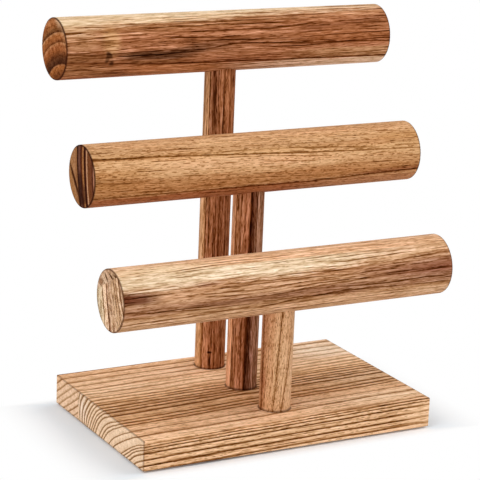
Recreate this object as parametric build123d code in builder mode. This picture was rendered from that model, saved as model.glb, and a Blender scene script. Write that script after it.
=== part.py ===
# Display stand with three wooden T-bars that step up from the front to the back of a glued base.
# Millimetres. +X runs along the bars, +Y to the back, +Z up. The origin is under the middle of
# the base, on the surface that the stand rests on.
import os
from build123d import *

os.makedirs("parts", exist_ok=True)

# Base, glued from a narrow rear stave and a wide front stave
base_length = 265
base_depth = 170
base_thickness = 25
base_edge_radius = 0.8
rear_stave_depth = 46

# Anti-slip pads under the corners of the base
pad_diameter = 18
pad_thickness = 1.5
pad_inset = 20

# Bars, with the height of each axis above the top of the base
bar_diameter = 50
bar_length = 300
bar_edge_radius = 0.8
upper_bar_height = 283
middle_bar_height = 192
lower_bar_height = 107

# Strip glued along the top rear of the lower bar, tilted back from straight up
strip_thickness = 10.8
strip_tilt = 27

# Posts in a row from front to back, glued into the bars and set loosely into the base
post_diameter = 26
post_pitch = 57.5
post_row_offset = 2.5
post_chamfer = 0.6
tenon_depth = 22
glue_clearance = 0.1
socket_depth = 10
socket_clearance = 0.45

# Button-head bolt, washer and threaded insert that hold each post to the base
bolt_diameter = 6
bolt_length = 25
bolt_head_diameter = 10.5
bolt_head_height = 3.3
bolt_head_rounding = 1.4
bolt_tip_chamfer = 0.6
hex_width = 4
hex_depth = 2
head_recess = 2.2
bolt_hole_clearance = 0.3
washer_diameter = 14
washer_thickness = 1.5
washer_bore_clearance = 0.2
counterbore_clearance = 1
insert_diameter = 9
insert_length = 15
insert_clearance = 0.05
thread_clearance = 0.05
bolt_tip_room = 2

# Levels and radii that follow from the sizes above
base_bottom = pad_thickness
base_top = base_bottom + base_thickness
socket_floor = base_top - socket_depth
counterbore_depth = washer_thickness + bolt_head_height + head_recess
washer_bottom = base_bottom + head_recess + bolt_head_height
bolt_reach = washer_bottom + bolt_length - socket_floor
bar_radius = bar_diameter / 2
post_radius = post_diameter / 2
bolt_radius = bolt_diameter / 2
down = (180, 0, 0)

# Each tier's name, the place of its post along Y and the height of its bar's axis
tiers = [
    ("upper", post_row_offset + post_pitch, base_top + upper_bar_height),
    ("middle", post_row_offset, base_top + middle_bar_height),
    ("lower", post_row_offset - post_pitch, base_top + lower_bar_height),
]


def finish(piece, label):
    piece.part.label = label
    export_step(piece.part, f"parts/{label}.step")


# One board of the base: the whole panel with its sockets and bolt holes, cut along the glue line
def make_stave(label, side):
    glue_line = Plane(origin=(0, base_depth / 2 - rear_stave_depth, 0), z_dir=(0, 1, 0))
    with BuildPart() as stave:
        with BuildSketch(Plane.XY.offset(base_bottom)):
            Rectangle(base_length, base_depth)
        extrude(amount=base_thickness)
        fillet(stave.edges(), base_edge_radius)
        with Locations(*[(0, post_y, base_top) for _, post_y, _ in tiers]):
            Hole(post_radius + socket_clearance, socket_depth)
        with Locations(*[Location((0, post_y, base_bottom), down) for _, post_y, _ in tiers]):
            CounterBoreHole(
                bolt_radius + bolt_hole_clearance,
                washer_diameter / 2 + counterbore_clearance,
                counterbore_depth,
            )
        split(bisect_by=glue_line, keep=side)
    finish(stave, label)


# A round bar with eased ends and a blind bore for its post, whole or cut along a glue line
def make_bar(label, post_y, axis_z, glue_line=None, side=None):
    end = Plane(origin=(-bar_length / 2, post_y, axis_z), z_dir=(1, 0, 0))
    with BuildPart() as bar:
        with BuildSketch(end):
            Circle(bar_radius)
        extrude(amount=bar_length)
        fillet(bar.edges().filter_by(GeomType.CIRCLE), bar_edge_radius)
        with Locations(Location((0, post_y, axis_z - bar_radius), down)):
            Hole(post_radius + glue_clearance, tenon_depth)
        if glue_line is not None:
            split(bisect_by=glue_line, keep=side)
    finish(bar, label)


# A round post from the floor of its socket up into its bar, bored for the insert in its foot
def make_post(label, post_y, axis_z):
    post_top = axis_z - bar_radius + tenon_depth - glue_clearance
    with BuildPart() as post:
        with BuildSketch(Plane(origin=(0, post_y, socket_floor))):
            Circle(post_radius)
        extrude(amount=post_top - socket_floor)
        chamfer(post.edges().filter_by(GeomType.CIRCLE), post_chamfer)
        with Locations(Location((0, post_y, socket_floor), down)):
            Hole(insert_diameter / 2 + insert_clearance, max(insert_length, bolt_reach) + bolt_tip_room)
    finish(post, label)


# The insert's thread is a plain bore that the bolt just clears
def make_insert(label, post_y):
    with BuildPart() as insert:
        with BuildSketch(Plane(origin=(0, post_y, socket_floor))):
            Circle(insert_diameter / 2)
            Circle(bolt_radius + thread_clearance, mode=Mode.SUBTRACT)
        extrude(amount=insert_length)
    finish(insert, label)


# A button-head bolt, head down, with a hex socket
def make_bolt(label, post_y):
    with BuildPart() as bolt:
        with BuildSketch(Plane(origin=(0, post_y, washer_bottom))):
            Circle(bolt_head_diameter / 2)
        extrude(amount=-bolt_head_height)
        fillet(bolt.edges().group_by(Axis.Z)[0], bolt_head_rounding)
        with BuildSketch(Plane(origin=(0, post_y, washer_bottom - bolt_head_height))):
            RegularPolygon(hex_width / 2, 6, major_radius=False)
        extrude(amount=hex_depth, mode=Mode.SUBTRACT)
        with BuildSketch(Plane(origin=(0, post_y, washer_bottom))):
            Circle(bolt_radius)
        extrude(amount=bolt_length)
        chamfer(bolt.edges().group_by(Axis.Z)[-1], bolt_tip_chamfer)
    finish(bolt, label)


def make_washer(label, post_y):
    with BuildPart() as washer:
        with BuildSketch(Plane(origin=(0, post_y, washer_bottom))):
            Circle(washer_diameter / 2)
            Circle(bolt_radius + washer_bore_clearance, mode=Mode.SUBTRACT)
        extrude(amount=washer_thickness)
    finish(washer, label)


def make_pad(label, x, y):
    with BuildPart() as pad:
        with BuildSketch(Plane(origin=(x, y, 0))):
            Circle(pad_diameter / 2)
        extrude(amount=pad_thickness)
    finish(pad, label)


make_stave("base_rear_stave", Keep.TOP)
make_stave("base_front_stave", Keep.BOTTOM)

for depth_name, y_side in (("front", -1), ("rear", 1)):
    for width_name, x_side in (("left", -1), ("right", 1)):
        pad_x = x_side * (base_length / 2 - pad_inset)
        pad_y = y_side * (base_depth / 2 - pad_inset)
        make_pad(f"pad_{depth_name}_{width_name}", pad_x, pad_y)

for tier, post_y, axis_z in tiers:
    make_post(f"{tier}_post", post_y, axis_z)
    make_insert(f"{tier}_insert", post_y)
    make_bolt(f"{tier}_bolt", post_y)
    make_washer(f"{tier}_washer", post_y)
    if tier == "lower":
        strip_line = Plane(origin=(0, post_y, axis_z)).rotated((-strip_tilt, 0, 0))
        strip_line = strip_line.offset(bar_radius - strip_thickness)
        make_bar("lower_bar", post_y, axis_z, strip_line, Keep.BOTTOM)
        make_bar("lower_bar_strip", post_y, axis_z, strip_line, Keep.TOP)
    else:
        make_bar(f"{tier}_bar", post_y, axis_z)
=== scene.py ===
import math

import bmesh
import bpy
from mathutils import Matrix, Vector


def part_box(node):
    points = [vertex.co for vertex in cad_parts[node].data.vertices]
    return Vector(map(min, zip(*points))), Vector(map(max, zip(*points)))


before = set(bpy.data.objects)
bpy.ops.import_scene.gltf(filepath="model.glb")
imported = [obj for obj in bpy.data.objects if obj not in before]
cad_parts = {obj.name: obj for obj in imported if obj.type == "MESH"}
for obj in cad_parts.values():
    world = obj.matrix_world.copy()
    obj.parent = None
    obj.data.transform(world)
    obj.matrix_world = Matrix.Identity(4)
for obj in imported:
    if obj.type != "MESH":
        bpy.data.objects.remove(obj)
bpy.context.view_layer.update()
toMm = 1000  # the frame is in metres, the looks are written in millimetres
print("frame loaded:", len(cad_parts), "nodes")


def linear(code):
    channels = [int(code[i:i + 2], 16) / 255 for i in (1, 3, 5)]
    return [c / 12.92 if c <= 0.04045 else ((c + 0.055) / 1.055) ** 2.4 for c in channels] + [1.0]


def fillRamp(ramp, kind, stops):
    ramp.interpolation = kind
    while len(ramp.elements) > 1:
        ramp.elements.remove(ramp.elements[-1])
    for index, (place, value) in enumerate(stops):
        mark = ramp.elements[0] if index == 0 else ramp.elements.new(place)
        mark.position = place
        mark.color = value if isinstance(value, list) else [value, value, value, 1.0]


# a socket that can be used in sums, so that shader maths reads as maths
class Wire:
    def __init__(self, tree, socket):
        self.tree = tree
        self.socket = socket

    def node(self, kind, settings, sockets, output=0):
        made = self.tree.nodes.new(kind)
        for name, value in settings.items():
            if name == "stops":
                fillRamp(made.color_ramp, *value)
            else:
                setattr(made, name, value)
        for name, value in sockets.items():
            if isinstance(value, Wire):
                self.tree.links.new(value.socket, made.inputs[name])
            else:
                made.inputs[name].default_value = value
        return Wire(self.tree, made.outputs[output]) if len(made.outputs) else None

    def math(self, operation, *values):
        return self.node("ShaderNodeMath", {"operation": operation}, dict(enumerate(values)))

    def __add__(self, other):
        return self.math("ADD", self, other)

    def __sub__(self, other):
        return self.math("SUBTRACT", self, other)

    def __mul__(self, other):
        return self.math("MULTIPLY", self, other)

    def __truediv__(self, other):
        return self.math("DIVIDE", self, other)

    def __pow__(self, other):
        return self.math("POWER", self, other)

    def __abs__(self):
        return self.math("ABSOLUTE", self)

    def __rsub__(self, other):
        return self.math("SUBTRACT", other, self)

    def __rtruediv__(self, other):
        return self.math("DIVIDE", other, self)

    __radd__ = __add__
    __rmul__ = __mul__


def smooth(value, low, high):
    return value.node(
        "ShaderNodeMapRange", {"interpolation_type": "SMOOTHSTEP"}, {0: value, 1: low, 2: high}
    )


def larger(first, second):
    return first.math("MAXIMUM", first, second)


def smaller(first, second):
    return first.math("MINIMUM", first, second)


# a line through points, of numbers or of colours, held level past its ends
def curve(value, points, kind="LINEAR"):
    places, heights = zip(*points)
    first, last = places[0], places[-1]
    spots = [(place - first) / (last - first) for place in places]
    along = (value - first) / (last - first)
    if isinstance(heights[0], str):
        stops = [(spot, linear(tone)) for spot, tone in zip(spots, heights)]
        return value.node("ShaderNodeValToRGB", {"stops": (kind, stops)}, {0: along})
    low = min(heights)
    spread = max(heights) - low or 1.0
    stops = [(spot, (height - low) / spread) for spot, height in zip(spots, heights)]
    return value.node("ShaderNodeValToRGB", {"stops": (kind, stops)}, {0: along}) * spread + low


def mixed(amount, first, second, blend="MIX"):
    owner = next(part for part in (amount, first, second) if isinstance(part, Wire))
    return owner.node(
        "ShaderNodeMix", {"data_type": "RGBA", "blend_type": blend}, {0: amount, 6: first, 7: second}, 2
    )


def vector(*parts):
    owner = next(part for part in parts if isinstance(part, Wire))
    return owner.node("ShaderNodeCombineXYZ", {}, dict(enumerate(parts)))


def split(point):
    return [point.node("ShaderNodeSeparateXYZ", {}, {0: point}, i) for i in range(3)]


def stretched(point, across, along):
    return point.node("ShaderNodeVectorMath", {"operation": "MULTIPLY"}, {
        0: point, 1: (1 / across, 1 / across, 1 / along)})


def noise(point, across, along, detail=2.0, roughness=0.5):
    return point.node("ShaderNodeTexNoise", {}, {
        "Vector": stretched(point, across, along), "Scale": 1.0, "Detail": detail,
        "Roughness": roughness})


def startMaterial(name):
    material = bpy.data.materials.new(name)
    material.use_nodes = True
    tree = material.node_tree
    tree.nodes.clear()
    spot = tree.nodes.new("ShaderNodeTexCoord")
    return material, Wire(tree, spot.outputs["Object"])


def finishMaterial(point, sockets):
    shader = point.node("ShaderNodeBsdfPrincipled", {}, sockets)
    point.node("ShaderNodeOutputMaterial", {}, {"Surface": shader})


# 1 in the core of an egg-shaped spot, falling to 0 at its skin
def nearSpot(s, a, b, spot):
    atS, atA, atB = spot["at"]
    sizeS, sizeA, sizeB = spot["size"]
    slopeA, slopeB = spot.get("slope", (0, 0))
    far = s - atS
    high = b - atB - far * slopeB
    away = vector(far / sizeS, (a - atA - far * slopeA - high * spot.get("lean", 0)) / sizeA, high / sizeB)
    away = s.node("ShaderNodeVectorMath", {"operation": "LENGTH"}, {0: away}, 1)
    return 1 - smooth(away, spot.get("core", 0.0), 1.0)


# 1 on a line that runs along the skin of a round piece
# its path goes through places given as (along in mm, round in degrees)
def nearPath(s, arc, radius, mark):
    path = curve(s, [(place, math.radians(angle) * radius) for place, angle in mark["path"]])
    off = abs(arc - path)
    strength = curve(s, mark["strength"])
    return smooth(off, mark["wide"], mark["wide"] * mark.get("core", 0.2)) * strength


# how lanes of fine lines wander: mm across and along the grain, then a line's margin in its lane and its core
lanePattern = {"drift": (14.0, 110.0), "waver": (3.0, 22.0), "margin": 0.2, "core": 0.35}


# 1 on fine lines along the grain, each in a lane of its own and broken in its own way
# a seed times a number only moves a pattern to another place
def grainLines(s, skin, seed, lines):
    drift = noise(vector(skin, seed * 5.0, s), *lanePattern["drift"], 1.0) - 0.5
    waver = noise(vector(skin, seed * 9.0, s), *lanePattern["waver"], 1.0) - 0.5
    lanes = (skin - s * lines["slope"] + drift * lines["wander"] + waver * lines["waver"]) / lines["gap"]
    lane = lanes.math("FLOOR", lanes)
    chance = lanes.node("ShaderNodeTexWhiteNoise", {"noise_dimensions": "1D"}, {"W": lane + seed * 3.7})
    margin = lanePattern["margin"]
    off = abs(lanes - lane - chance * (1 - 2 * margin) - margin) * lines["gap"]
    runs = smooth(noise(vector(lane * 3.3, seed * 2.0, s), 1.0, lines["run"], 2.0), *lines["cut"])
    return smooth(off, lines["wide"], lines["wide"] * lanePattern["core"]) * runs


# what all the woods share, in mm, across the grain and then along it where there are two
woodFinish = {
    "fibreWide": 0.8,
    "fibreCut": (0.3, 0.7),  # where the noise turns from 0 to 1
    "band": (4.0, 70.0),
    "bandCut": (0.25, 0.75),
    "fleck": (2.0, 0.6),  # detail and roughness of the fibres and the bands
    "blush": (7.0, 60.0),
    "blushCut": (0.45, 0.7),
    "blushTint": "#FFE2D2",
    "ringLength": 60,  # about the length of a ring on an end
    "lineShare": (0.2, 0.5),  # the most of a ring that its line takes, before and after the ring's edge
    "markRagged": 0.8,  # how far the fibres fray a mark
    "markPushed": 3,  # how far the bands push a mark that has a tone
    "poreCore": 0.6,
    "endSkin": (0.7, 0.15),  # where end grain begins and where it is full, from an end
    "rimSkin": (1.6, 0.4),  # the same for the dark rim, partly scorch and partly painted shade, from an edge
    "endFibre": 0.4,  # how much of the fibres shows on an end
    "ringFibre": 0.3,  # how much the fibres thin a ring
    "paleSoak": 0.6,  # how much is kept of what is paler than the wood
    "soakBy": (1.3, 1.2),  # the soak on black wood, and how much less it is on white
    "soakTint": "#A2896A",
    "heights": (0.5, 0.8, 0.25),  # fibres up, lines down, rings down
    "relief": (0.35, 0.0004),  # strength, and depth in metres
    "roughBy": (0.1, 0.1, 0.12),  # on rings, fibres and end grain
    "gloss": 0.005,
}


# Wood: growth rings cut by the shape of each piece. Lengths are in millimetres, its centre in metres.
# s runs along the grain, a and b across it, from the middle of the piece.
def timber(name, look):
    material, place = startMaterial(name)
    local = place.node("ShaderNodeVectorMath", {"operation": "MULTIPLY_ADD"}, {
        0: place, 1: (toMm, toMm, toMm), 2: Vector(look["centre"]) * -toMm})
    x, y, z = split(local)
    if look["grain"] == "X":
        s, a, b = x, y, z
        right, near = b, a * -1
    else:
        turn = math.radians(look["turn"])
        s, a, b = z, x * math.cos(turn) + y * math.sin(turn), y * math.cos(turn) - x * math.sin(turn)
        right, near = a, b * -1
    skin = right.math("ARCTAN2", right, near) * look["round"] if "round" in look else a + b
    seed = look["seed"]
    wood = vector(a + seed * 37.0, b, s)

    # growth: a distance in the direction of growth, swayed along the grain and ragged at the edges
    swayBy, swayAcross, swayAlong = look["sway"]
    sway = noise(wood, swayAcross, swayAlong) - 0.5
    fibre = noise(wood, woodFinish["fibreWide"], look["fibreRun"], *woodFinish["fleck"])
    fibre = smooth(fibre, *woodFinish["fibreCut"]) - 0.5
    band = smooth(noise(wood, *woodFinish["band"], *woodFinish["fleck"]), *woodFinish["bandCut"]) - 0.5
    leanA, leanB = look["lean"]
    fromA, fromB = a - s * leanA, b - s * leanB
    if "pith" in look:
        fromA, fromB = fromA - look["pith"][0], fromB - look["pith"][1]
        growth = (fromA * fromA + fromB * fromB) ** 0.5
        tangent = fromA.math("ARCTAN2", fromA, fromB) * woodFinish["ringLength"]
    else:
        growth = fromA + curve(fromA, look["slant"]) * fromB + fromB * fromB * look["bow"]
        growth = growth * look["sense"]
        tangent = b
    growth = growth + sway * (2 * swayBy) + fibre * look["ragged"]
    for knot in look.get("knots", []):
        growth = growth + nearSpot(s, a, b, knot) * knot["push"]
    edges = look["edges"]
    count = curve(growth, [(edge, index) for index, edge in enumerate(edges)])
    ring = count.math("FLOOR", count)
    phase = count - ring
    widths = [(low, high - low) for low, high in zip(edges, edges[1:])]
    width = curve(growth, widths + [(edges[-1], widths[-1][1])], "CONSTANT")
    chance = count.node("ShaderNodeTexWhiteNoise", {"noise_dimensions": "1D"}, {"W": ring + seed * 11.0})
    shallow, deep = look["ringDepth"]
    lineBefore, lineAfter, lineDepth = look["line"]
    if "lineWide" in look:
        lineAfter = curve(growth, look["lineWide"]) * lineAfter
    shareBefore, shareAfter = woodFinish["lineShare"]
    after = smooth(phase * width, smaller(width * shareAfter, lineAfter), 0.0)
    before = smooth((1 - phase) * width, smaller(width * shareBefore, lineBefore), 0.0)
    line = larger(after, before) * lineDepth
    dark = larger(curve(phase, look["profile"]), line) * (chance * (deep - shallow) + shallow)
    endGrain = smooth(abs(s), *[look["half"] - skinDeep for skinDeep in woodFinish["endSkin"]])
    sideGrain = 1 - endGrain
    if "ringFade" in look:
        dark = dark * (1 - (1 - curve(growth, look["ringFade"])) * sideGrain)

    # tones of the wood in the direction of growth, then by place; the zone near the top of the upper post is
    # partly painted shade
    colour = curve(growth + band * look["blotch"] + s * look.get("toneLean", 0), look["tones"])
    colour = mixed(endGrain, colour, curve(growth, look["endTones"]))
    for zone in look.get("zones", []):
        colour = mixed(nearSpot(s, a, b, zone) * zone["depth"], colour, linear(zone["tone"]))
    arc = skin + fibre * woodFinish["markRagged"] + sway
    marks = look.get("marks", [])
    for mark in [mark for mark in marks if "tone" in mark]:
        onMark = nearPath(s, arc + band * woodFinish["markPushed"], look["round"], mark) * sideGrain
        colour = mixed(onMark, colour, linear(mark["tone"]))
    blush = smooth(noise(wood, *woodFinish["blush"]), *woodFinish["blushCut"]) * look["blush"]
    colour = mixed(blush * sideGrain, colour, linear(woodFinish["blushTint"]), "MULTIPLY")

    # soak: how much more colour the wood takes up in its lines, dashes and pores, less so where it is pale
    lines = grainLines(s, skin, seed, look["lines"]) * look["lines"]["depth"]
    dashes = grainLines(s, skin, seed + 0.5, look["dashes"]) * look["dashes"]["depth"]
    endLines = grainLines(tangent, growth, seed + 0.3, look["endLines"]) * look["endLines"]["depth"]
    poreAcross, poreAlong, poreSize, poreDepth = look["pores"]
    cell = wood.node("ShaderNodeTexVoronoi", {"feature": "F1"}, {
        "Vector": stretched(wood, poreAcross, poreAlong), "Scale": 1.0})
    pore = 1 - smooth(cell, poreSize * woodFinish["poreCore"], poreSize)
    fine = (lines + dashes - look["ease"]) * sideGrain + endLines * endGrain + pore * poreDepth
    for mark in [mark for mark in marks if "tone" not in mark]:
        fine = fine + nearPath(s, arc, look["round"], mark) * sideGrain * mark["depth"]
    fibreShows = sideGrain * (1 - woodFinish["endFibre"]) + woodFinish["endFibre"]
    soak = fine - fibre * fibreShows * look["fibre"] - band * look["band"]
    soak = larger(soak, soak * woodFinish["paleSoak"])
    onBlack, lessOnWhite = woodFinish["soakBy"]
    soak = soak * (onBlack - colour.node("ShaderNodeRGBToBW", {}, {0: colour}) * lessOnWhite)

    # rings, and the wood's tone times a warm tint raised to all that it takes up
    sideSoak, endSoak = look["ringSoak"]
    rings = dark * (1 - fibre * woodFinish["ringFibre"]) * (sideGrain * (sideSoak - endSoak) + endSoak)
    for spot in look.get("calm", []):
        rings = rings * (1 - nearSpot(s, a, b, spot) * spot["depth"])
    soak = soak + rings + endGrain * look["endShade"]
    tint = soak.node("ShaderNodeGamma", {}, {0: linear(woodFinish["soakTint"]), 1: soak})
    colour = mixed(1.0, colour, tint, "MULTIPLY")

    # the dark rim round each end: partly scorch, partly painted shade along its edges
    scorchAndShadeTone = linear(look["scorchAndShadeTone"])
    fromSkin = (a * a + b * b) ** 0.5 - look["round"] if "round" in look else abs(b) - look["thick"]
    rimFar, rimNear = woodFinish["rimSkin"]
    rim = smooth(smaller(fromSkin, abs(s) - look["half"]), -rimFar, -rimNear)
    colour = mixed(rim * look["rim"], colour, scorchAndShadeTone)
    # painted shade at the feet of the posts and down the front corner of the base
    for spot in look.get("shadeSpots", []):
        colour = mixed(nearSpot(s, a, b, spot) * spot["depth"], colour, scorchAndShadeTone)

    # lines and rings lie a little lower, and rings and ends are rougher
    fibresUp, linesDown, ringsDown = woodFinish["heights"]
    height = fibre * fibresUp - fine * linesDown - dark * ringsDown
    strength, deepest = woodFinish["relief"]
    bump = height.node("ShaderNodeBump", {}, {"Strength": strength, "Distance": deepest, "Height": height})
    onRings, onFibres, onEnds = woodFinish["roughBy"]
    rough = dark * onRings + fibre * onFibres + endGrain * onEnds + look["rough"]
    finishMaterial(place, {
        "Base Color": colour, "Roughness": rough, "Normal": bump, "Specular IOR Level": woodFinish["gloss"]})
    return material


# the middle of some nodes in metres, and half their size in millimetres
def middle(*nodes):
    corners = [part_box(node) for node in nodes]
    low = Vector([min(corner[0][i] for corner in corners) for i in range(3)])
    high = Vector([max(corner[1][i] for corner in corners) for i in range(3)])
    return (low + high) / 2, (high - low) * (toMm / 2)


def dress(node, material):
    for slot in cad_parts[node].material_slots:
        slot.material = material


# early wood that starts dark and pales outwards, as on the posts, the upper bar and the lower one
torched = [(0.0, 0.85), (0.15, 0.65), (0.45, 0.35), (0.75, 0.12), (1.0, 0.0)]
# pale wood with little more than a line at each ring, as on the base
paleWood = [(0.0, 0.22), (0.3, 0.08), (0.7, 0.0), (1.0, 0.0)]
# short dark lines along the rings of an end
brokenRings = {"gap": 1.5, "wide": 0.5, "wander": 1, "waver": 0.6, "slope": 0, "run": 7, "cut": (0.46, 0.6)}

# Base
baseMiddle, baseHalf = middle("base_front_stave", "base_rear_stave")
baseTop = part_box("base_front_stave")[1][2] * toMm
leftEnd, frontFace, topFace = -baseHalf.x, -baseHalf.y, baseHalf.z
tiers = ("upper", "middle", "lower")
# painted shade: a dark ring on the base round the foot of each post, where it stands in its socket
footShadeRing = {"size": (14.4, 14.4, 3), "core": 0.9, "depth": 0.6}  # the dark ring round the foot of a post
footShadeRings = []
for tier in tiers:
    axis = (middle(tier + "_post")[0] - baseMiddle) * toMm
    footShadeRings.append(dict(footShadeRing, at=(axis.x, axis.y, topFace)))
# painted shade: a thin dark line down the eased front left corner of the base
cornerShade = {"at": (leftEnd, frontFace, 0), "size": (1.5, 1.5, 60), "core": 0.3, "depth": 0.55}
frontStaveWood = {
    "centre": baseMiddle, "grain": "X", "half": baseHalf.x, "thick": baseHalf.z, "seed": 1, "sense": 1,
    "slant": [(-85, 2.0), (-60, 1.7), (-33, 1.55), (-10, 1.0), (11, 0.68), (25, 0.35), (35, 0.05), (39, 0.0)],
    "bow": 0.012, "lean": (0, 0.018), "sway": (3.0, 30, 90), "ragged": 0.6, "fibreRun": 9,
    "edges": [-116, -105, -96, -86.5, -76, -69, -64, -59, -44, -33, -21, -16, -10.5, -2,
              3, 6.6, 11, 16, 20, 24.7, 29.5, 35, 39, 43],
    "profile": paleWood, "line": (1.0, 2.4, 1.4), "lineWide": [(-62, 1.5), (-56, 1.0)], "scorchAndShadeTone": "#5E3008",
    "ringDepth": (0.6, 1.0), "ringSoak": (1.6, 1.15),
    "ringFade": [(-66, 1.0), (-58, 0.6), (-30, 0.6), (-22, 0.85), (16, 0.85), (23, 0.35), (40, 0.3)],
    "tones": [(-110, "#E4B88E"), (-64, "#E4B88E"), (-56, "#F2C59B"), (-30, "#F2C49A"), (-18, "#E0AE7E"),
              (4, "#DEAE80"), (22, "#F0C294"), (33, "#F8D0A8"), (40, "#F8D0A8")],
    "endTones": [(-110, "#F8D8B8"), (40, "#F8D9BA")], "endShade": 0.0,
    "endLines": dict(brokenRings, depth=0.2), "blotch": 10, "blush": 0.15, "fibre": 0.75, "band": 0.55,
    "ease": 0.24,
    "lines": {"gap": 5, "wide": 0.6, "wander": 4, "waver": 1.5, "slope": 0, "run": 60, "cut": (0.42, 0.6),
              "depth": 1.2},
    "dashes": {"gap": 1.7, "wide": 0.55, "wander": 3, "waver": 1, "slope": 0, "run": 10, "cut": (0.48, 0.62),
               "depth": 0.85},
    "pores": (1.6, 8, 0.26, 0.95), "rim": 0.5, "rough": 0.5, "shadeSpots": footShadeRings + [cornerShade],
    "calm": [{"at": (132, frontFace, 0), "size": (40, 8, 18), "core": 0.2, "depth": 0.65}],
    "zones": [
        {"at": (-62, frontFace, 11.6), "size": (8, 2, 1.0), "core": 0.2, "depth": 0.6, "tone": "#5A2C10"},
        {"at": (88, frontFace, 12), "size": (11, 2, 1.0), "core": 0.2, "depth": 0.6, "tone": "#5A2C10"},
        {"at": (126, frontFace, 0), "size": (34, 6, 16), "depth": 0.7, "tone": "#F4CCA4"},
        {"at": (110, -15, topFace), "size": (75, 38, 12), "depth": 0.7, "tone": "#E6C09A"},
        {"at": (90, -66, topFace), "size": (110, 20, 12), "depth": 0.7, "tone": "#F3D1AC"},
        {"at": (leftEnd, 29, 0), "size": (4, 12, 18), "depth": 0.85, "tone": "#FFE8D6"},
    ],
}
rearStaveWood = dict(
    frontStaveWood, seed=2, slant=[(39, 1.6), (85, 1.55)], bow=0.0, line=(1.2, 3.6, 1.1),
    edges=[15, 24, 34, 44, 54, 64, 74, 84, 95, 106, 116], ringDepth=(0.3, 1.0), ringSoak=(1.3, 1.15),
    tones=[(19, "#F6CCA4"), (50, "#F4C69C"), (80, "#F6CCA4"), (106, "#EEBC90")],
    endTones=[(19, "#F2CEAE"), (80, "#F2CEAE"), (106, "#EEC096")], lineWide=[(0, 1.0), (120, 1.1)],
    ringFade=[(0, 1.0), (120, 0.9)], calm=[],
    zones=[{"at": (112, 60, topFace), "size": (70, 40, 6), "depth": 0.8, "tone": "#FFE8CE"}],
)
dress("base_front_stave", timber("base front stave wood", frontStaveWood))
dress("base_rear_stave", timber("base rear stave wood", rearStaveWood))
print("base dressed")

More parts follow.
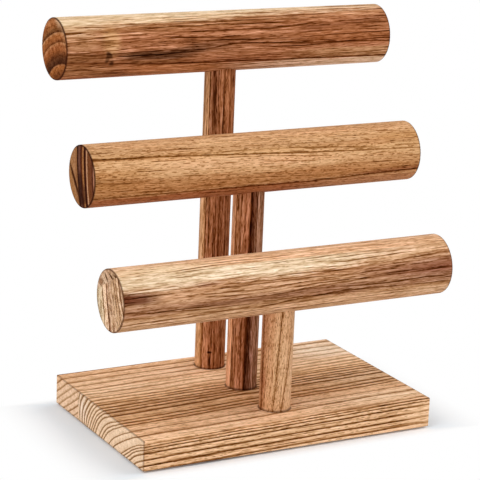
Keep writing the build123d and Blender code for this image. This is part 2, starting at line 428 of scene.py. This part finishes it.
# Bars
upperMiddle, upperHalf = middle("upper_bar")
upperBarWood = {
    "centre": upperMiddle, "grain": "X", "half": upperHalf.x, "round": upperHalf.z, "seed": 3,
    "pith": (-22, -56), "lean": (0, -0.027), "sway": (1.8, 26, 120), "ragged": 0.9, "fibreRun": 11,
    "edges": [20, 30, 43, 60, 68, 86, 104], "profile": torched, "line": (0.3, 1.8, 1.2),
    "ringDepth": (0.85, 1.0), "ringSoak": (0.4, 0.0), "scorchAndShadeTone": "#34140A",
    "tones": [(36, "#B57248"), (43, "#985C38"), (50, "#985E3A"), (62, "#9A603C"), (71, "#9E6440"),
              (76, "#A8724A"), (78, "#BC926C"), (80, "#D0AA82"), (83, "#DEC09A")],
    "endTones": [(36, "#7A4422"), (41, "#A46232"), (42.6, "#B4764C"), (43.3, "#4A2614"), (47, "#56301A"),
                 (51, "#703E20"), (55, "#9C5A30"), (58, "#AC683E"), (59.9, "#C08256"), (60.6, "#703C1C"),
                 (63, "#98592F"), (66, "#B06C3C"), (68, "#C0865A"), (68.7, "#542A12"), (71, "#80502C"),
                 (74, "#AA6A3E"), (79, "#B47448"), (83, "#98603A")],
    "endShade": 0.03, "endLines": dict(brokenRings, depth=0.4), "toneLean": -0.054, "blotch": 3,
    "blush": 0.15, "fibre": 1.0, "band": 0.7, "ease": 0.5,
    "lines": {"gap": 3.6, "wide": 0.65, "wander": 9, "waver": 1.2, "slope": 0.01, "run": 90,
              "cut": (0.42, 0.62), "depth": 1.4},
    "dashes": {"gap": 1.5, "wide": 0.55, "wander": 4, "waver": 1, "slope": 0, "run": 24,
               "cut": (0.48, 0.62), "depth": 0.95},
    "pores": (1.5, 7, 0.27, 0.6), "rim": 0.85, "rough": 0.45,
    "knots": [{"at": (-112, -24, -6), "size": (22, 18, 16), "push": 5}],
    "marks": [
        {"path": [(-105, -9), (-60, -10), (-30, -11)], "wide": 4, "core": 0.4, "tone": "#5C3820",
         "strength": [(-108, 0.0), (-92, 0.9), (-55, 0.9), (-30, 0.0)]},
        {"path": [(40, -24), (150, -27)], "wide": 7, "core": 0.5, "tone": "#B68258",
         "strength": [(40, 0.0), (90, 0.9), (150, 1.0)]},
        {"path": [(50, 12), (150, 6)], "wide": 9, "core": 0.3, "tone": "#985A34",
         "strength": [(40, 0.0), (80, 0.8), (150, 0.8)]},
        {"path": [(-100, -48), (-40, -52), (40, -55), (150, -60)], "wide": 9, "core": 0.75, "tone": "#A4663C",
         "strength": [(-110, 0.0), (-80, 0.9), (150, 0.9)]},
        {"path": [(-20, -53), (40, -55), (150, -60)], "wide": 9, "core": 0.75, "tone": "#D8B08D",
         "strength": [(-20, 0.0), (90, 1.0), (150, 1.0)]},
        {"path": [(-150, -38), (-115, -42), (-80, -52)], "wide": 9, "core": 0.5, "tone": "#98613A",
         "strength": [(-150, 0.9), (-115, 0.9), (-80, 0.0)]},
        {"path": [(-150, -9), (-118, -12)], "wide": 5, "core": 0.2, "tone": "#84522E",
         "strength": [(-150, 0.85), (-122, 0.7), (-105, 0.0)]},
        {"path": [(-95, -13), (-60, -8), (-20, 2), (20, 12)], "wide": 6.5, "core": 0.0, "tone": "#5A341E",
         "strength": [(-100, 0.0), (-75, 0.8), (-40, 0.8), (0, 0.3), (30, 0.0)]},
        {"path": [(-100, -23), (-60, -24), (-40, -24)], "wide": 2.4, "core": 0.2, "tone": "#8A5834",
         "strength": [(-102, 0.0), (-90, 0.75), (-58, 0.75), (-40, 0.0)]},
        {"path": [(90, 82), (150, 82)], "wide": 6, "core": 0.2, "tone": "#E6BC96",
         "strength": [(90, 0.0), (112, 0.5), (150, 0.5)]},
        {"path": [(45, 21), (100, 32), (150, 45)], "wide": 4, "core": 0.0, "tone": "#6E3A20",
         "strength": [(35, 0.0), (75, 0.45), (150, 0.4)]},
        {"path": [(-150, -18), (-115, -21), (-85, -28), (-40, -31), (40, -34), (150, -39)], "wide": 1.3,
         "depth": 1.4, "strength": [(-150, 0.5), (-110, 0.6), (-60, 1.0), (40, 1.0), (150, 0.75)]},
        {"path": [(-95, -15), (-30, -4), (30, 13), (65, 21)], "wide": 1.0,
         "depth": 1.2, "strength": [(-100, 0.0), (-70, 0.9), (-10, 0.9), (65, 0.0)]},
        {"path": [(20, 3), (100, -2), (150, -5)], "wide": 1.1,
         "depth": 1.3, "strength": [(15, 0.0), (45, 0.9), (110, 1.0), (150, 0.8)]},
        {"path": [(-98, 21), (-50, 22), (-10, 17), (40, 21)], "wide": 0.9,
         "depth": 1.2, "strength": [(-100, 0.3), (-60, 0.4), (-30, 0.8), (45, 0.0)]},
        {"path": [(-45, 30), (40, 31), (65, 35), (100, 38), (150, 43)], "wide": 1.1,
         "depth": 1.3, "strength": [(-60, 0.0), (-35, 0.9), (60, 0.9), (150, 0.5)]},
        {"path": [(-95, 43), (-50, 42), (10, 44), (60, 50)], "wide": 1.0,
         "depth": 1.2, "strength": [(-100, 0.3), (-70, 0.6), (-20, 0.7), (60, 0.0)]},
        {"path": [(-60, 52), (0, 51), (60, 47), (110, 50)], "wide": 0.9,
         "depth": 1.0, "strength": [(-65, 0.0), (-30, 0.8), (60, 0.8), (115, 0.0)]},
    ],
    "zones": [
        {"at": (-111, -22, 9), "size": (11, 16, 18), "core": 0.3, "depth": 0.75, "tone": "#BE8C5C"},
        {"at": (-136, -23, 8), "size": (30, 14, 12), "depth": 0.6, "tone": "#B4845A"},
        {"at": (-136, -9, 23), "size": (34, 13, 7), "depth": 0.8, "tone": "#EACEAA"},
        {"at": (-138, -19, 16), "size": (26, 10, 8), "depth": 0.6, "tone": "#D6AC84"},
        {"at": (-113, -25, -2.6), "size": (4.2, 7, 3.4), "slope": (0, -0.5), "core": 0.35, "depth": 1.0,
         "tone": "#3A1A0A"},
        {"at": (-114.5, -25, -5.6), "size": (3, 7, 5.5), "slope": (0, 0.6), "core": 0.3, "depth": 0.95,
         "tone": "#3A1A0A"},
        {"at": (-110.5, -25, -10), "size": (3.2, 7, 4.4), "core": 0.3, "depth": 0.95, "tone": "#3A1A0A"},
    ],
}
dress("upper_bar", timber("upper bar wood", upperBarWood))

middleMiddle, middleHalf = middle("middle_bar")
middleBarWood = {
    "centre": middleMiddle, "grain": "X", "half": middleHalf.x, "round": middleHalf.z, "seed": 4, "sense": 1,
    "slant": [(-25, -0.16), (25, -0.155)], "bow": 0.0038,
    "lean": (-0.009, 0), "sway": (1.0, 26, 140), "ragged": 0.6, "fibreRun": 6,
    "edges": [-50, -21.5, -7.5, -0.5, 6.5, 14, 30], "profile": [(0, 0.4), (0.2, 0.2), (0.6, 0.05), (1, 0)],
    "line": (0.3, 1.6, 1.6), "ringDepth": (0.9, 1.0), "ringSoak": (0.15, 0.0), "scorchAndShadeTone": "#2A0F06",
    "tones": [(-30, "#CA9A6C"), (-21, "#C49464"), (-9, "#C8986C"), (5, "#C29264"), (12, "#CA9E74")],
    "endTones": [(-24.4, "#C08A6E"), (-23.6, "#A87058"), (-22.8, "#4E2012"), (-21.8, "#562814"),
                 (-20.8, "#7C4830"), (-16, "#84502F"), (-13.2, "#7E4A2A"), (-12.4, "#E0AE8C"),
                 (-11.3, "#DAA682"), (-10.2, "#7A4830"), (-9.4, "#3A160A"), (-7, "#3A160A"),
                 (-6.2, "#7A4828"), (-5.4, "#BC8454"), (-3.9, "#BC8454"), (-3.0, "#7E4626"),
                 (-2.0, "#5C2E18"), (-0.3, "#5C2E18"), (0.6, "#785046"), (3.6, "#7E5446"), (4.4, "#34120A"),
                 (6.2, "#38160A"), (7.2, "#A06C44"), (12, "#BC8A64"), (20, "#B88658"), (25, "#A8764A")],
    "endShade": 0.2, "endLines": dict(brokenRings, depth=0.5), "blotch": 2, "blush": 0.25,
    "fibre": 0.65, "band": 0.2, "ease": 0.25,
    "lines": {"gap": 4.5, "wide": 0.55, "wander": 6, "waver": 1.6, "slope": -0.03, "run": 40,
              "cut": (0.46, 0.62), "depth": 0.9},
    "dashes": {"gap": 1.6, "wide": 0.5, "wander": 3, "waver": 1, "slope": -0.03, "run": 6,
               "cut": (0.48, 0.6), "depth": 0.75},
    "pores": (1.7, 6, 0.26, 0.7), "rim": 0.85, "rough": 0.45,
    "marks": [
        {"path": [(-150, 56), (150, 40)], "wide": 6, "core": 0.2, "tone": "#B5875C",
         "strength": [(-150, 0.8), (150, 0.7)]},
        {"path": [(-150, 26), (0, 17), (150, 6)], "wide": 7, "core": 0.2, "tone": "#D0A074",
         "strength": [(-150, 0.1), (-110, 0.4), (-60, 0.95), (20, 1.0), (70, 0.2), (150, 0.0)]},
        {"path": [(-150, 10), (-90, 12)], "wide": 8, "core": 0.1, "tone": "#B27E4C",
         "strength": [(-150, 0.85), (-115, 0.7), (-85, 0.0)]},
        {"path": [(-150, -7), (-95, -8)], "wide": 6, "core": 0.1, "tone": "#94602F",
         "strength": [(-150, 0.95), (-118, 0.85), (-92, 0.0)]},
        {"path": [(90, 46), (150, 45)], "wide": 7, "core": 0.1, "tone": "#B27F4E",
         "strength": [(90, 0.0), (120, 0.85), (150, 0.9)]},
        {"path": [(-150, -20), (150, -16)], "wide": 11, "core": 0.2, "tone": "#AC7242",
         "strength": [(-150, 0.8), (150, 0.8)]},
        {"path": [(-150, -54), (150, -52)], "wide": 10, "core": 0.6, "tone": "#9A5A34",
         "strength": [(-150, 0.9), (25, 0.95), (60, 0.55), (150, 0.55)]},
        {"path": [(75, -28), (150, -22)], "wide": 4.5, "core": 0.0, "tone": "#8A4E2C",
         "strength": [(70, 0.0), (105, 0.7), (150, 0.7)]},
        {"path": [(-150, 43), (-100, 40), (-37, 34), (43, 25), (85, 22), (150, 18)], "wide": 1.1,
         "depth": 1.4, "strength": [(-150, 0.8), (-60, 1.0), (40, 0.95), (90, 0.7), (150, 0.5)]},
        {"path": [(-150, 41), (-100, 38)], "wide": 1.3,
         "depth": 1.2, "strength": [(-150, 0.9), (-112, 0.8), (-92, 0.0)]},
        {"path": [(25, 37), (60, 32), (100, 28)], "wide": 0.9,
         "depth": 1.2, "strength": [(20, 0.0), (40, 0.9), (80, 0.9), (105, 0.0)]},
        {"path": [(-150, -33), (-50, -34), (40, -36), (90, -30), (150, -26)], "wide": 1.3,
         "depth": 1.3, "strength": [(-150, 0.7), (0, 0.85), (60, 0.85), (150, 1.0)]},
    ],
    "zones": [
        {"at": (-middleHalf.x, 17.5, -12.5), "size": (3, 5.5, 24), "lean": 0.81, "core": 0.7, "depth": 0.9,
         "tone": "#B88456"},
        {"at": (-middleHalf.x, 12.5, -6.2), "size": (3, 3.6, 20), "lean": 0.81, "core": 0.35, "depth": 1.0,
         "tone": "#4E2812"},
        {"at": (-middleHalf.x, 1.6, -7), "size": (3, 4.6, 13), "lean": 0.12, "core": 0.6, "depth": 0.85,
         "tone": "#3E2014"},
        {"at": (-middleHalf.x, -6, -13), "size": (3, 2.4, 10), "lean": 0.24, "core": 0.5, "depth": 0.85,
         "tone": "#663E2A"},
        {"at": (-middleHalf.x, -1, -18), "size": (3, 7.5, 7), "lean": 0.2, "core": 0.4, "depth": 0.8,
         "tone": "#38190E"},
    ],
}
dress("middle_bar", timber("middle bar wood", middleBarWood))

lowerMiddle, lowerHalf = middle("lower_bar", "lower_bar_strip")
lowerBarWood = {
    "centre": lowerMiddle, "grain": "X", "half": lowerHalf.x, "round": lowerHalf.z, "seed": 5, "sense": -1,
    "slant": [(-25, -0.6), (-12, -0.4), (0, -0.25), (25, -0.17)], "bow": 0.0,
    "lean": (0, 0), "sway": (1.8, 24, 110), "ragged": 0.8, "fibreRun": 10,
    "edges": [-30, -21, -13, -5, 0, 2.6, 5, 7.4, 10, 13, 16.5, 31, 40], "profile": torched,
    "line": (0.3, 1.8, 1.4), "ringDepth": (0.7, 1.0), "ringSoak": (0.3, 0.0), "scorchAndShadeTone": "#4A240E",
    "tones": [(-25, "#C8986C"), (8, "#CEA076"), (15, "#C4946C"), (17.5, "#BC8C62"), (24, "#BA8A62"),
              (32, "#B88862")],
    "endTones": [(-26, "#B49A78"), (-21, "#CEB28C"), (-14.5, "#D6B48C"), (-13.8, "#66401E"),
                 (-13.1, "#A07850"), (-12.2, "#E6BE98"), (-6.4, "#E2B68E"), (-5.5, "#663A1E"),
                 (-4.4, "#8E5E3E"), (-2.4, "#CEA47E"), (2, "#C09470"), (7, "#CCA27A"), (12, "#C2966E"),
                 (17, "#BC8E66"), (18, "#DEB48C"), (20.4, "#DAAE84"), (21.2, "#7A4A28"), (22.6, "#7A4E2E"),
                 (24, "#BE9470")],
    "endShade": -0.22, "endLines": dict(brokenRings, wide=0.55, depth=1.9), "blotch": 4, "blush": 0.2,
    "fibre": 0.85, "band": 0.6, "ease": 0.45,
    "lines": {"gap": 3.4, "wide": 0.65, "wander": 9, "waver": 1.4, "slope": 0.01, "run": 70,
              "cut": (0.42, 0.6), "depth": 1.35},
    "dashes": {"gap": 1.5, "wide": 0.55, "wander": 4, "waver": 1, "slope": 0.01, "run": 18,
               "cut": (0.48, 0.62), "depth": 0.75},
    "pores": (1.5, 7, 0.27, 0.6), "rim": 0.75, "rough": 0.47,
    "marks": [
        {"path": [(-150, 49), (-100, 51), (-60, 54), (0, 49), (50, 53), (90, 64), (150, 76)], "wide": 12.5,
         "core": 0.4, "tone": "#D8BA96",
         "strength": [(-150, 1.0), (40, 1.0), (75, 0.5), (110, 0.2), (150, 0.1)]},
        {"path": [(-150, -8), (0, -10), (150, -8)], "wide": 7, "core": 0.2, "tone": "#9C6A4C",
         "strength": [(-150, 0.75), (-110, 0.6), (0, 0.65), (150, 0.6)]},
        {"path": [(-150, -48), (150, -48)], "wide": 9.5, "core": 0.7, "tone": "#CDA078",
         "strength": [(-150, 1.0), (150, 0.95)]},
        {"path": [(-150, 16), (-115, 14)], "wide": 7, "core": 0.2, "tone": "#5A2A14",
         "strength": [(-150, 1.0), (-132, 0.9), (-114, 0.0)]},
        {"path": [(55, 15), (100, 14), (150, 15)], "wide": 7.5, "core": 0.25, "tone": "#7E462A",
         "strength": [(48, 0.0), (70, 0.5), (100, 0.55), (150, 0.4)]},
        {"path": [(65, 38), (110, 44), (150, 54)], "wide": 6, "core": 0.2, "tone": "#DDB48C",
         "strength": [(60, 0.0), (80, 0.5), (150, 0.5)]},
        {"path": [(-88, 29), (-64, 27)], "wide": 2.2, "core": 0.0, "tone": "#8A5838",
         "strength": [(-92, 0.0), (-80, 0.9), (-72, 0.9), (-60, 0.0)]},
        {"path": [(-95, -8), (-40, -9)], "wide": 3.4, "core": 0.2, "tone": "#74482C",
         "strength": [(-100, 0.0), (-85, 0.7), (-45, 0.7), (-20, 0.0)]},
        {"path": [(-95, -19), (-45, -20)], "wide": 1.8, "core": 0.2, "tone": "#C89C74",
         "strength": [(-98, 0.0), (-85, 0.8), (-50, 0.8), (-35, 0.0)]},
        {"path": [(-45, -14), (20, -3), (70, 0)], "wide": 5, "core": 0.0, "tone": "#74442A",
         "strength": [(-50, 0.0), (-15, 0.4), (50, 0.4), (85, 0.0)]},
        {"path": [(-45, -31), (-27, -27), (10, -18), (50, -13), (100, -16), (150, -20)], "wide": 1.2,
         "depth": 1.3, "strength": [(-50, 0.0), (-25, 0.9), (50, 1.0), (100, 0.7), (150, 0.5)]},
        {"path": [(-95, 12), (-30, 8), (40, 15), (100, 21), (150, 26)], "wide": 0.9,
         "depth": 1.2, "strength": [(-100, 0.0), (-70, 0.9), (70, 0.8), (110, 0.4), (150, 0.4)]},
        {"path": [(-70, 25), (0, 22), (60, 29), (150, 40)], "wide": 0.9,
         "depth": 1.2, "strength": [(-75, 0.0), (-40, 0.8), (150, 0.8)]},
        {"path": [(-95, -3), (-20, -5), (40, 4), (150, 12)], "wide": 1.0,
         "depth": 1.2, "strength": [(-100, 0.0), (-70, 0.8), (60, 0.8), (105, 0.25), (150, 0.15)]},
        {"path": [(-150, -8), (-110, -14), (-60, -20)], "wide": 1.2,
         "depth": 1.2, "strength": [(-150, 0.6), (-90, 0.8), (-55, 0.0)]},
        {"path": [(-95, -25), (-40, -27)], "wide": 1.0,
         "depth": 1.1, "strength": [(-98, 0.0), (-80, 0.7), (-45, 0.8), (-30, 0.0)]},
        {"path": [(10, 48), (60, 45)], "wide": 0.9,
         "depth": 0.9, "strength": [(5, 0.0), (25, 0.8), (50, 0.8), (65, 0.0)]},
    ],
    "zones": [
        {"at": (140, -25, 5), "size": (75, 14, 16), "depth": 0.9, "tone": "#7C4A34"},
    ],
}
lowerStripWood = dict(
    lowerBarWood, seed=6, slant=[(-25, -1.5), (25, -1.4)], edges=[-30, -22, -12, -3, 7, 18, 29, 40, 50],
    tones=[(-20, "#D6A880"), (10, "#D8AE88"), (30, "#D6A880")], marks=[], ringSoak=(0.15, 0.0),
    endTones=[(-20, "#C69A76"), (-9, "#DEBC9E"), (3, "#E4C2A4"), (12, "#E0BC9A"), (25, "#D8B090"),
              (34, "#CCA482"), (40, "#BE9470")], endShade=-0.02,
    zones=[
        {"at": (-115, -10, 23), "size": (70, 13, 9), "depth": 0.8, "tone": "#DEC19A"},
        {"at": (140, -8, 23), "size": (70, 15, 9), "depth": 0.8, "tone": "#C09066"},
        {"at": (-lowerHalf.x, 7.4, 16.4), "size": (3, 2.1, 5.5), "lean": 1.0, "core": 0.2, "depth": 1.0,
         "tone": "#54300F"},
        {"at": (-lowerHalf.x, -1, 19.6), "size": (3, 3.2, 3), "lean": 2.0, "core": 0.2, "depth": 1.0,
         "tone": "#54300F"},
        {"at": (-lowerHalf.x, -8, 21.6), "size": (3, 6, 1.6), "lean": 2.0, "core": 0.2, "depth": 0.9,
         "tone": "#6E4420"},
        {"at": (-lowerHalf.x, 17.5, 11), "size": (3, 5.5, 4), "core": 0.4, "depth": 0.85, "tone": "#94653F"},
    ],
)
dress("lower_bar", timber("lower bar wood", lowerBarWood))
dress("lower_bar_strip", timber("lower bar strip wood", lowerStripWood))
print("bars dressed")


# painted shade: the dark line where a post meets the base
def footShadeLine(post):
    return [{"at": (baseTop - post.z * toMm, 0, 0), "size": (2.4, 60, 60), "core": 0.3, "depth": 0.6}]


# Posts, turned so that a runs to the right and b away from the photograph's viewpoint
postMiddle, postHalf = middle("upper_post")
upperPostWood = {
    "centre": postMiddle, "grain": "Z", "turn": -29, "half": postHalf.z, "seed": 7, "sense": 1,
    "slant": [(-13, 0.1), (13, -0.1)], "bow": 0.0, "lean": (0.004, 0.0), "sway": (1.0, 14, 90),
    "ragged": 0.9, "edges": [-20, -8.5, -4, 0.5, 4.5, 9, 16], "profile": torched, "line": (0.3, 1.8, 1.4),
    "fibreRun": 8, "ringDepth": (0.6, 1.0), "ringSoak": (0.45, 0.8), "scorchAndShadeTone": "#2A0F06",
    "tones": [(-13, "#CC9668"), (-8.5, "#C48C5E"), (-7, "#B27650"), (0, "#AE704A"), (6, "#A0643E"),
              (13, "#9E623C")],
    "endTones": [(-13, "#B98A5C"), (13, "#B08050")], "endShade": 0.0,
    "endLines": dict(brokenRings, depth=0.5), "shadeSpots": footShadeLine(postMiddle),
    "blotch": 2, "blush": 0.2, "fibre": 1.0, "band": 0.6, "ease": 0.47, "round": postHalf.x,
    "lines": {"gap": 3, "wide": 0.6, "wander": 4, "waver": 1.2, "slope": 0, "run": 60, "cut": (0.42, 0.6),
              "depth": 1.35},
    "dashes": {"gap": 1.5, "wide": 0.55, "wander": 2, "waver": 0.8, "slope": 0, "run": 12,
               "cut": (0.48, 0.62), "depth": 0.75},
    "pores": (1.5, 7, 0.27, 0.6), "rim": 0.3, "rough": 0.47,
    "marks": [
        # darker towards the top: partly a dark streak in the wood, partly painted shade under the upper bar
        {"path": [(60, -12), (128, -18)], "wide": 2.2, "depth": 1.1,
         "strength": [(50, 0.0), (80, 0.9), (128, 1.0)]},
        {"path": [(-140, -33), (128, -36)], "wide": 0.9, "depth": 1.2, "strength": [(-140, 0.7), (128, 0.9)]},
        {"path": [(-40, -20), (40, -24)], "wide": 1.0, "depth": 1.2,
         "strength": [(-45, 0.0), (-20, 0.9), (20, 0.9), (45, 0.0)]},
        {"path": [(-60, 14), (128, 22)], "wide": 0.9, "depth": 1.2, "strength": [(-60, 0.6), (128, 0.9)]},
    ],
    "zones": [
        # darker towards the top: partly a dark streak in the wood, partly painted shade under the upper bar
        {"at": (110, -3.5, -12.5), "size": (60, 6, 6), "depth": 0.75, "tone": "#723E24"},
        {"at": (-119.5, -0.3, -13), "size": (1.6, 3.2, 5), "core": 0.3, "depth": 1.0, "tone": "#3A180C"},
        {"at": (-127, 0, -13), "size": (8, 1.2, 5), "core": 0.3, "depth": 0.95, "tone": "#3A180C"},
    ],
}
dress("upper_post", timber("upper post wood", upperPostWood))

postMiddle, postHalf = middle("middle_post")
darkPatch = 167  # height in mm of the dark patch under the middle bar
middlePostWood = dict(
    upperPostWood, centre=postMiddle, half=postHalf.z, seed=8, lean=(0, 0), edges=[-25, -9, -2, 3, 11, 18],
    tones=[(-13, "#DA9A6E"), (-9.5, "#CE8E62"), (-8.5, "#B67A54"), (2, "#AA6A46"), (3, "#62341E"),
           (6.5, "#6C3E26"), (9, "#A07052"), (13, "#A87858")],
    shadeSpots=footShadeLine(postMiddle),
    marks=[
        {"path": [(-90, -43), (90, -45)], "wide": 0.9, "depth": 1.2, "strength": [(-90, 0.8), (90, 0.9)]},
        {"path": [(-90, 9), (90, 13)], "wide": 2.0, "depth": 1.3, "strength": [(-90, 0.9), (90, 1.0)]},
        {"path": [(-90, -14), (90, -10)], "wide": 0.9, "depth": 1.2, "strength": [(-90, 0.6), (90, 0.7)]},
        {"path": [(-90, -28), (90, -25)], "wide": 1.2, "depth": 1.0, "strength": [(-90, 0.5), (90, 0.9)]},
    ],
    zones=[
        {"at": (darkPatch - postMiddle.z * toMm, 3.6, -12.6), "size": (11, 3, 5), "depth": 0.85,
         "tone": "#3E1C10"},
    ],
)
dress("middle_post", timber("middle post wood", middlePostWood))

postMiddle, postHalf = middle("lower_post")
lowerPostWood = dict(
    upperPostWood, centre=postMiddle, half=postHalf.z, seed=9, lean=(0.065, 0.0),
    edges=[-24, -12, 0.3, 9, 18, 26], ringDepth=(0.5, 0.8), ringSoak=(0.25, 0.6), scorchAndShadeTone="#4A240E",
    tones=[(-14, "#CA8C62"), (-10, "#C88F64"), (0, "#C8996E"), (14, "#D2A67E")], fibreRun=4,
    fibre=0.55, band=0.25, ease=0.28, blush=0.2,
    lines={"gap": 4.5, "wide": 0.5, "wander": 3, "waver": 1, "slope": 0.06, "run": 40, "cut": (0.46, 0.62),
           "depth": 0.6},
    dashes={"gap": 1.4, "wide": 0.45, "wander": 2, "waver": 1, "slope": 0.06, "run": 4, "cut": (0.48, 0.6),
            "depth": 0.75},
    pores=(1.5, 4, 0.27, 0.7),
    shadeSpots=footShadeLine(postMiddle),
    marks=[
        {"path": [(-50, -7), (45, 15)], "wide": 0.8, "depth": 1.5, "strength": [(-50, 0.7), (45, 0.9)]},
        {"path": [(-50, 22), (12, 58)], "wide": 0.9, "depth": 1.5,
         "strength": [(-50, 0.8), (10, 0.6), (15, 0.0)]},
        {"path": [(-50, -58), (45, -62)], "wide": 1.5, "depth": 1.2, "strength": [(-50, 0.8), (45, 0.7)]},
    ],
    zones=[{"at": (-22, -11, -8), "size": (18, 6, 8), "depth": 0.6, "tone": "#9A5434"}],
)
dress("lower_post", timber("lower post wood", lowerPostWood))
print("posts dressed")


# Hardware: zinc-plated bolts and washers, brass inserts, rubber pads
# tones in the hollows and on the worn grain, grain per metre, relief, roughness and how much it varies
zincFinish = {
    "tone": linear("#A9ACB0"), "worn": [0.8, 0.8, 0.8, 1.0], "metal": 1.0, "grain": 900.0, "detail": 3.0,
    "relief": (0.15, 0.0002), "rough": 0.25, "vary": 0.2,
}
brassFinish = dict(zincFinish, tone=linear("#B8923F"), rough=0.3)
rubberFinish = {
    "tone": linear("#141414"), "worn": [0.03, 0.03, 0.03, 1.0], "metal": 0.0, "grain": 1600.0, "detail": 2.0,
    "relief": (0.4, 0.0002), "rough": 0.75, "vary": 0.1,
}


def grained(name, finish):
    material, place = startMaterial(name)
    grain = place.node("ShaderNodeTexNoise", {}, {
        "Vector": place, "Scale": finish["grain"], "Detail": finish["detail"]})
    strength, deepest = finish["relief"]
    bump = grain.node("ShaderNodeBump", {}, {"Strength": strength, "Distance": deepest, "Height": grain})
    finishMaterial(place, {
        "Base Color": mixed(grain, finish["tone"], finish["worn"]), "Metallic": finish["metal"],
        "Roughness": grain * finish["vary"] + finish["rough"], "Normal": bump})
    return material


zinc = grained("bright zinc", zincFinish)
brass = grained("turned brass", brassFinish)
padRubber = grained("pad rubber", rubberFinish)
for tier in tiers:
    dress(tier + "_bolt", zinc)
    dress(tier + "_washer", zinc)
    dress(tier + "_insert", brass)
for corner in ("front_left", "front_right", "rear_left", "rear_right"):
    dress("pad_" + corner, padRubber)
print("hardware dressed")

# Camera, at the angle and distance of the photograph: metres, degrees, and the lens in mm
view = {
    "place": (-0.77012, -1.3784, 0.58063), "turn": 28.941, "tip": 15.139, "roll": 2.32, "lens": 149.07,
    "farthest": 100,
}
turn, tip = math.radians(view["turn"]), math.radians(view["tip"])
ahead = Vector((math.sin(turn) * math.cos(tip), math.cos(turn) * math.cos(tip), -math.sin(tip)))
side = Vector((math.cos(turn), -math.sin(turn), 0))
pose = Matrix((side, side.cross(ahead), -ahead)).transposed().to_4x4()
roll = Matrix.Rotation(math.radians(view["roll"]), 4, "Z")
camera = bpy.data.objects.new("camera", bpy.data.cameras.new("camera"))
camera.data.lens = view["lens"]
camera.data.clip_end = view["farthest"]
camera.matrix_world = Matrix.Translation(view["place"]) @ pose @ roll
bpy.context.scene.collection.objects.link(camera)
bpy.context.scene.camera = camera
print("camera set")

# Soft light from above on both sides, and from the front
lights = {
    "left": {"from": (-1.0, -0.1, 0.9), "strength": 1.5, "softness": 50},
    "right": {"from": (1.0, -0.1, 0.9), "strength": 1.4, "softness": 50},
    "front": {"from": (-0.2, -1.0, 0.2), "strength": 1.35, "softness": 50},
}
for name, setting in lights.items():
    lamp = bpy.data.lights.new(name, "SUN")
    lamp.energy = setting["strength"]
    lamp.angle = math.radians(setting["softness"])
    holder = bpy.data.objects.new(name, lamp)
    holder.rotation_euler = Vector(setting["from"]).to_track_quat("Z", "Y").to_euler()
    bpy.context.scene.collection.objects.link(holder)
print("lights set")


# 1 where the camera sees a surface itself, and 1 where it sees it in any way, also in metal or through glass
def viewRays(tree):
    path = tree.nodes.new("ShaderNodeLightPath")
    kinds = ("Is Camera Ray", "Is Glossy Ray", "Is Transmission Ray")
    seen, mirrored, clear = [Wire(tree, path.outputs[kind]) for kind in kinds]
    return seen, larger(larger(seen, mirrored), clear)


# White all round, with a low even fill light
fill = 0.32
world = bpy.data.worlds.new("studio")
world.use_nodes = True
bpy.context.scene.world = world
world.node_tree.nodes.clear()
seen, backdrop = viewRays(world.node_tree)
glow = seen.node("ShaderNodeBackground", {}, {
    "Color": (1, 1, 1, 1), "Strength": backdrop * (1 - fill) + fill})
seen.node("ShaderNodeOutputWorld", {}, {"Surface": glow})

# White floor that keeps the shadow beside the base and is plain white further out
# half its size in metres, its tones, how far the shadow reaches in mm, and where and how much a cool painted
# shadow darkens it
stage = {
    "half": 20, "paint": "#FAFAFA", "shade": "#EBF3FA", "bounce": "#E8E8E8", "reach": (60, 15), "blur": 3,
    "paintedShadowInFront": 0.3,
}
mesh = bpy.data.meshes.new("floor")
sheet = bmesh.new()
bmesh.ops.create_grid(sheet, x_segments=1, y_segments=1, size=stage["half"])
sheet.to_mesh(mesh)
sheet.free()
floor = bpy.data.objects.new("floor", mesh)
bpy.context.scene.collection.objects.link(floor)
floorPaint, place = startMaterial("white floor")
seen, backdrop = viewRays(floorPaint.node_tree)
x, y = split(place)[:2]
pastX = abs(x) * toMm - baseHalf.x
pastY = abs(y) * toMm - baseHalf.y
reachX, reachY = stage["reach"]
out = larger(smooth(pastX, 0, reachX), smooth(pastY, 0, reachY))
# painted shadow: a cool, darker paint beside the base that deepens the real shadow, weaker in front of the
# base
beside = smooth(pastX, -stage["blur"], stage["blur"])
paintedShadow = (1 - out) * (beside * (1 - stage["paintedShadowInFront"]) + stage["paintedShadowInFront"])
tint = mixed(paintedShadow, linear(stage["paint"]), linear(stage["shade"]))
painted = seen.node("ShaderNodeBsdfDiffuse", {}, {"Color": mixed(seen, linear(stage["bounce"]), tint)})
blank = seen.node("ShaderNodeEmission", {}, {"Color": (1, 1, 1, 1), "Strength": 1.0})
cover = seen.node("ShaderNodeMixShader", {}, {0: backdrop * out, 1: painted, 2: blank})
seen.node("ShaderNodeOutputMaterial", {}, {"Surface": cover})
mesh.materials.append(floorPaint)
print("stage set")

bpy.context.scene.view_settings.view_transform = "Standard"
